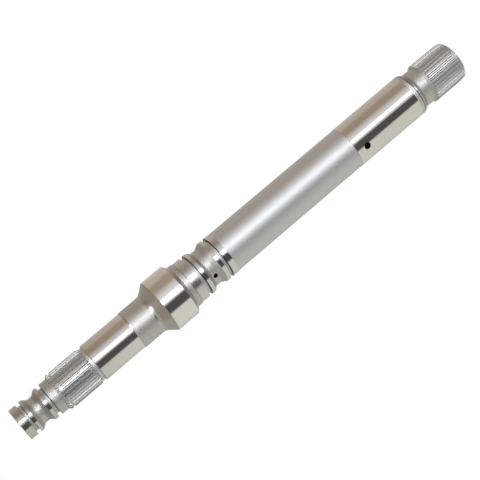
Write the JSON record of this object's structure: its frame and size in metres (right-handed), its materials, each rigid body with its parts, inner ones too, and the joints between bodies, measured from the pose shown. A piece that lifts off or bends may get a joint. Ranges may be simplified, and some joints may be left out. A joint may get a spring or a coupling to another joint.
{
  "type": "splined shaft",
  "caption": "Stepped steel drive shaft with involute splines at both ends, ground journals, a polished collar, seal-ring grooves and cross-drilled oil feeds.",
  "frame": {"origin": "centre of the end face of the wide splined head, on which the shaft stands", "axes": "+Z along the shaft's axis from the splined head to the grooved nose; the cross holes face between -X and -Y"},
  "size_m": [0.0362, 0.0362, 0.35],
  "materials": {
    "steel": "ground and polished journals and collar, bead-blasted satin barrel, cut teeth and grooves"
  },
  "bodies": {
    "root": {"shaft": "steel"}
  },
  "joints": []
}
